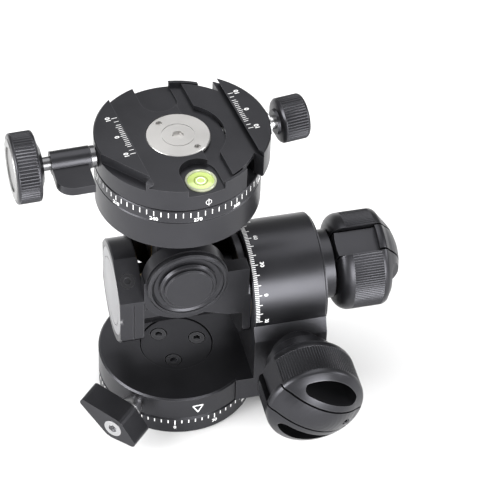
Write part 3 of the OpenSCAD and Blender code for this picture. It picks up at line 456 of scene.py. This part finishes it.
def barrelScaleMarks(v):
    # angles count from -Y upwards, about the tilt axis
    a = math.radians(v["zeroAngle"])
    place = onCylinder((v["edgeX"], 0, v["axisZ"]), (1, 0, 0),
                       (0, -math.cos(a), math.sin(a)), v["radius"])
    marks = bmesh.new()
    for value in range(v["from"], v["to"] + 1, v["step"]):
        u = -math.radians(value) * v["radius"]
        tick = v["short"] if value % v["mainStep"] else v["long"]
        addStroke(marks, place, (u, 0), (u, tick), v["width"])
        if value % v["numberStep"] == 0:
            addDigits(marks, place, str(abs(value)), (u, v["long"] + v["numberGap"]),
                      v["numberHeight"])
    finishMarks(marks, "barrel_scale_marks", "housing")


# a side has its piece, body, ticks' inner and outer ends, numbers' place and middle
jawScale = {"turn": 8.0, "z": 127.1, "numberHeight": 2.4, "numberTurn": 90, "width": 0.2,
            "denseTo": 6, "apart": [-10, -8, 8, 10], "mainStep": 5, "mainExtra": 0.25,
            "numbers": (-10, 0, 10),
            "sides": [("fixed_jaw_marks", "clamp", -18.2, -19.9, -21.5, 3.4),
                      ("moving_jaw_marks", "jaw", 23.6, 25.2, 27.0, 2.3)]}


def jawScaleMarks(v):
    turn = Matrix.Rotation(math.radians(v["turn"]), 3, "Z")
    place = onPlane((0, 0, v["z"]), turn @ Vector((1, 0, 0)), turn @ Vector((0, 1, 0)))
    for name, body, inner, outer, numberX, middle in v["sides"]:
        marks = bmesh.new()
        longer = outer + v["mainExtra"] * (outer - inner)
        for k in list(range(-v["denseTo"], v["denseTo"] + 1)) + v["apart"]:
            far = outer if k % v["mainStep"] else longer
            addStroke(marks, place, (inner, middle + k), (far, middle + k), v["width"])
        for k in v["numbers"]:
            addDigits(marks, place, str(abs(k)), (numberX, middle + k), v["numberHeight"],
                      v["numberTurn"])
        finishMarks(marks, name, body)


baseScaleMarks(baseScale)
basePointerMarks(basePointer)
clampScaleMarks(clampScale)
clampIndexMarks(clampIndex)
barrelScaleMarks(barrelScale)
jawScaleMarks(jawScale)
print("marks done")


ribCrest = 0.6  # below 1 the ribs get broad crests and narrow valleys
ribWall = 0.5  # only points this close to the outer wall are ribbed


def ribRings(v):
    # the wall's rings: the ribs rise over ribLead and end over ribTail
    r = v["radius"]
    return [(r, v["ribFrom"]), (r, v["ribFrom"] + v["ribLead"]),
            (r, v["ribTo"]), (r, v["ribTo"] + v["ribTail"])]


def ribbed(v):
    # radius with straight ribs between two heights, on the outer wall only
    low, high = v["ribFrom"] + v["ribLead"] / 2, v["ribTo"] + v["ribTail"] / 2
    least = v["radius"] - ribWall

    def radiusAt(r, z, a):
        if z < low or z > high or r < least:
            return r
        wave = 0.5 + 0.5 * math.cos(a * v["ribs"])
        return r - v["ribDepth"] * (1 - wave ** ribCrest)
    return radiusAt


def solidFrom(name, points, faces):
    mesh = bpy.data.meshes.new(name)
    mesh.from_pydata(points, [], faces)
    build = bmesh.new()
    build.from_mesh(mesh)
    writeMesh(build, mesh)
    return addObject(name, mesh)


def prism(outline, low, high):
    count = len(outline)
    points = [(x, y, z) for z in (low, high) for x, y in outline]
    faces = [tuple(range(count))[::-1], tuple(range(count, 2 * count))]
    faces += [(k, (k + 1) % count, count + (k + 1) % count, count + k) for k in range(count)]
    return points, faces


gearKnob = {"radius": 18.6, "length": 32.5, "start": 5.7,
            "shoulder": 5.0, "shoulderFrom": -80, "rim": 3.0, "rimTo": 40,
            "dome": 9.6, "domeRadius": 23.0, "domeFrom": 47,
            "flat": 5.6, "wall": 3.0, "innerWall": 2.4, "corner": 2.0,
            "ribs": 112, "ribDepth": 0.28, "ribFrom": 11.2, "ribTo": 22.6,
            "ribLead": 0.05, "ribTail": 0.05, "steps": 672,
            "arcSteps": {"shoulder": 8, "rim": 6, "dome": 14, "corner": 5, "inner": 28}}
knobPlaces = {
    "tilt": {"origin": (41.0, -28.95, 30.05), "quarter": "X", "turn": -29.0},
    "roll": {"origin": (53.55, 0.0, 49.65), "quarter": "Y", "turn": 21.0},
}
cutPast = 1  # a cutter reaches this far past the knob


def wingShape(v):
    # one grip: the upper part of a domed knob, hollow and open at the end
    r, length, start, arcs = v["radius"], v["length"], v["start"], v["arcSteps"]
    shoulder, rim, dome = v["shoulder"], v["rim"], v["domeRadius"]
    profile = [(0, start), (r - shoulder, start)]
    profile += arcPoints(r - shoulder, start + shoulder, shoulder,
                         v["shoulderFrom"], 0, arcs["shoulder"])
    profile += ribRings(v)
    profile += arcPoints(r - rim, length - v["dome"], rim, 0, v["rimTo"], arcs["rim"])
    profile += arcPoints(0, length - dome, dome, v["domeFrom"], 90, arcs["dome"])[:-1]
    profile.append((0, length))
    body = solidFrom("wingBody", *revolve(profile, v["steps"], ribbed(v)))
    flat, past, end = v["flat"], r + cutPast, length + cutPast
    keep = solidFrom("wingKeep", *prism(
        [(-past, flat), (past, flat), (past, past), (-past, past)], 0, end))
    inner, low, corner = r - v["wall"], flat + v["innerWall"], v["corner"]
    edge = math.sqrt((inner - corner) ** 2 - (low + corner) ** 2)
    join = math.degrees(math.atan2(low + corner, edge))
    outline = arcPoints(edge, low + corner, corner, -90, join, arcs["corner"])
    outline += arcPoints(0, 0, inner, join, 180 - join, arcs["inner"])[1:-1]
    outline += arcPoints(-edge, low + corner, corner, 180 - join, 270, arcs["corner"])
    hollow = solidFrom("wingHollow", *prism(outline, start + v["wall"], end))
    for tool, mode in ((keep, "INTERSECT"), (hollow, "DIFFERENCE")):
        cut = body.modifiers.new(mode, "BOOLEAN")
        cut.object = tool
        cut.operation = mode
        cut.solver = "EXACT"
    mesh = bpy.data.meshes.new_from_object(
        body.evaluated_get(bpy.context.evaluated_depsgraph_get()))
    for thing in (body, keep, hollow):
        bpy.data.objects.remove(thing)
    return mesh


def gearKnobWings(v, places):
    shape = wingShape(v)
    for knob, p in places.items():
        stand = Matrix.Translation(p["origin"]) @ Matrix.Rotation(math.pi / 2, 4, p["quarter"])
        for side, half in (("upper", 0), ("lower", 180)):
            place = stand @ Matrix.Rotation(math.radians(p["turn"] + half), 4, "Z")
            mesh = shape.copy()
            mesh.transform(Matrix.Scale(mm, 4) @ place)
            mesh.materials.clear()
            mesh.materials.append(looks["black_anodised"])
            mesh.shade_smooth()
            mesh.set_sharp_from_angle(angle=softAngle)
            piece = addObject(f"{knob}_knob_grip_{side}", mesh)
            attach(piece, f"{knob}_wing_{side}")
            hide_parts(f"{knob}_knob_wing_{side}")


def besideClamp(v):
    # stands a knob, drawn along Z, on its axis at the clamp's side
    return (Matrix.Rotation(math.radians(v["turn"]), 4, "Z")
            @ Matrix.Translation((0, 0, v["z"]))
            @ Matrix.Rotation(math.radians(v["side"]), 4, "Y")
            @ Matrix.Translation((0, 0, v["start"])))


def knobWall(v):
    # collar, chamfer of (inset, height), ribbed wall and rounded outer edge
    r, length, edge = v["radius"], v["length"], v["edge"]
    profile = v["collar"] + [(r - inset, z) for inset, z in v["chamfer"]]
    profile += ribRings(v)
    return profile + arcPoints(r - edge, length - edge, edge, v["edgeFrom"], 90, v["edgeSteps"])


jawKnob = {"radius": 8.3, "length": 11.5, "start": 36.6, "z": 120.05, "turn": 8.0, "side": 90,
           "collar": [(0, 0), (4.6, 0), (4.9, 1.0)], "chamfer": [(1.2, 1.2), (0.5, 1.5), (0, 2.2)],
           "edge": 1.2, "edgeFrom": 10, "edgeSteps": 5, "endInset": 2.6,
           "ribs": 46, "ribDepth": 0.4, "ribFrom": 2.4, "ribTo": 10.3,
           "ribLead": 0.3, "ribTail": 0.1, "steps": 368}


def ribbedJawKnob(v):
    length = v["length"]
    profile = knobWall(v) + [(v["radius"] - v["endInset"], length), (0, length)]
    points, faces = revolve(profile, v["steps"], ribbed(v))
    piece = makePiece("jaw_knob_ribbed", points, faces, besideClamp(v), "jaw_drive",
                      looks["black_anodised"])
    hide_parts("jaw_knob")


lockKnob = {"radius": 12.7, "length": 10.5, "start": 49.5, "z": 121.05, "turn": 2.0, "side": -90,
            "collar": [(0, 0), (6.5, 0)], "chamfer": [(3, 1.4), (0.8, 1.6), (0.2, 1.9), (0, 2.4)],
            "edge": 0.9, "edgeFrom": 10, "edgeSteps": 4,
            "bore": 11.0, "insertGap": 0.02, "recess": 1.6,
            "ribs": 62, "ribDepth": 0.4, "ribFrom": 2.6, "ribTo": 9.4,
            "ribLead": 0.3, "ribTail": 0.1, "steps": 496}


def ribbedLockKnob(v):
    length, bore = v["length"], v["bore"] + v["insertGap"]
    floor = length - v["recess"]
    profile = knobWall(v) + [(bore, length), (bore, floor), (0, floor)]
    points, faces = revolve(profile, v["steps"], ribbed(v))
    piece = makePiece("clamp_lock_knob_ribbed", points, faces, besideClamp(v), "clamp_lock",
                      looks["black_anodised"])
    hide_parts("clamp_lock_knob")


gearKnobWings(gearKnob, knobPlaces)
ribbedJawKnob(jawKnob)
ribbedLockKnob(lockKnob)
print("ribbed knobs done")


# depths are below the level's top
roundLevel = {"turn": 8.0, "y": -22.9, "low": 119.45, "top": 122.85, "radius": 5.58, "rim": 0.8,
              "edge": 0.2, "lip": (0.1, 0.15), "well": 1.3,
              "liquidLow": 1.2, "liquidEdge": 0.75, "liquidGap": 0.02, "crown": 0.35,
              "crownAt": (4.0, 3.0, 2.0, 1.0, 0), "steps": 72,
              "ring": 2.3, "bubble": 1.5, "line": 0.16, "lineSteps": 48, "lineSides": 8}


def levelPieces(v):
    place = Matrix.Rotation(math.radians(v["turn"]), 4, "Z") @ Matrix.Translation((0, v["y"], 0))
    r, top, edge, lip = v["radius"], v["top"], v["edge"], v["lip"]
    inner, well = r - v["rim"], top - v["well"]

    def crownHeight(q):
        return top - v["liquidEdge"] + v["crown"] * (1 - (q / inner) ** 2)

    cup = [(0, v["low"]), (r, v["low"]), (r, top - edge), (r - edge, top), (inner + lip[0], top),
           (inner, top - lip[1]), (inner, well), (0, well)]
    points, faces = revolve(cup, v["steps"], plainRadius)
    piece = makePiece("level_cup", points, faces, place, "clamp", levelRimLook)
    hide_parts("round_level")
    bottom, side = top - v["liquidLow"], inner - v["liquidGap"]
    liquid = [(0, bottom), (side, bottom), (side, top - v["liquidEdge"])]
    liquid += [(q, crownHeight(q)) for q in v["crownAt"]]
    points, faces = revolve(liquid, v["steps"], plainRadius)
    makePiece("level_window", points, faces, place, "clamp", looks["level_liquid"])
    for name, radius, look in (("level_ring", v["ring"], levelLineLook),
                               ("level_bubble", v["bubble"], markPaint)):
        line = arcPoints(radius, crownHeight(radius), v["line"], 0, 360, v["lineSides"])
        points, faces = revolve(line, v["lineSteps"], plainRadius)
        makePiece(name, points, faces, place, "clamp", look)


levelPieces(roundLevel)
print("level done")


# lengths from here to the camera are in metres
stage = {"floorHalf": 3.0, "floorTone": 0.9, "floorRough": 0.9, "ambient": 0.38,
         "backdrop": 1.0}


def floorAndWorld(v):
    h = v["floorHalf"]
    mesh = bpy.data.meshes.new("floor")
    mesh.from_pydata([(-h, -h, 0), (h, -h, 0), (h, h, 0), (-h, h, 0)], [], [(0, 1, 2, 3)])
    floor = addObject("floor", mesh)
    material = bpy.data.materials.new("floorPaper")
    material.use_nodes = True
    shader = material.node_tree.nodes["Principled BSDF"]
    shader.inputs["Base Color"].default_value = (v["floorTone"],) * 3 + (1,)
    shader.inputs["Roughness"].default_value = v["floorRough"]
    mesh.materials.append(material)
    world = bpy.data.worlds.new("studio")
    world.use_nodes = True
    tree = world.node_tree
    tree.nodes["Background"].inputs["Color"].default_value = (1, 1, 1, 1)
    # the backdrop looks white but lights the object with the ambient share only
    path = tree.nodes.new("ShaderNodeLightPath")
    level = tree.nodes.new("ShaderNodeMapRange")
    level.inputs["To Min"].default_value = v["ambient"]
    level.inputs["To Max"].default_value = v["backdrop"]
    tree.links.new(path.outputs["Is Camera Ray"], level.inputs["Value"])
    tree.links.new(level.outputs["Result"], tree.nodes["Background"].inputs["Strength"])
    bpy.context.scene.world = world


lightAim = (0.02, 0, 0.07)
softboxes = {
    "overhead": {"at": (0.05, 0.25, 0.9), "size": 0.8, "power": 4.5},
    "left": {"at": (-0.9, -0.2, 0.45), "size": 0.6, "power": 15.0},
    "right": {"at": (0.9, -0.35, 0.5), "size": 0.4, "power": 4.0},
    "front": {"at": (0.2, -0.95, 0.3), "size": 0.6, "power": 13.0},
}


def addSoftboxes(boxes, aim):
    for name, v in boxes.items():
        light = bpy.data.lights.new(name, "AREA")
        light.shape = "SQUARE"
        light.size = v["size"]
        light.energy = v["power"]
        lamp = addObject(name, light)
        lamp.location = v["at"]
        lamp.rotation_mode = "QUATERNION"
        lamp.rotation_quaternion = (Vector(aim) - Vector(v["at"])).to_track_quat("-Z", "Y")


# fitted to the photograph: degrees and millimetres, focal length in pixels, clips in metres
photoCamera = {"azimuth": 15.09, "elevation": 43.89, "distance": 904.2, "focal": 2311.6,
               "across": 27.03, "up": 50.14, "roll": -2.23, "imageWidth": 500,
               "sensor": 36.0, "near": 0.05, "far": 20}


def addCamera(v):
    a, e, roll = (math.radians(v[k]) for k in ("azimuth", "elevation", "roll"))
    back = Vector((-math.sin(a) * math.cos(e), -math.cos(a) * math.cos(e), math.sin(e)))
    right = Vector((math.cos(a), -math.sin(a), 0))
    up = right.cross(-back)
    place = right * v["across"] + up * v["up"] + back * v["distance"]
    rolledRight = right * math.cos(roll) - up * math.sin(roll)
    rolledUp = right * math.sin(roll) + up * math.cos(roll)
    data = bpy.data.cameras.new("photoCamera")
    data.sensor_width = v["sensor"]
    data.lens = v["focal"] / v["imageWidth"] * v["sensor"]
    data.clip_start, data.clip_end = v["near"], v["far"]
    camera = addObject("photoCamera", data)
    turn = Matrix((rolledRight, rolledUp, back)).transposed().to_4x4()
    camera.matrix_world = Matrix.Translation(place * mm) @ turn
    bpy.context.scene.camera = camera


floorAndWorld(stage)
addSoftboxes(softboxes, lightAim)
addCamera(photoCamera)
bpy.context.scene.view_settings.view_transform = "Standard"
print("stage done")
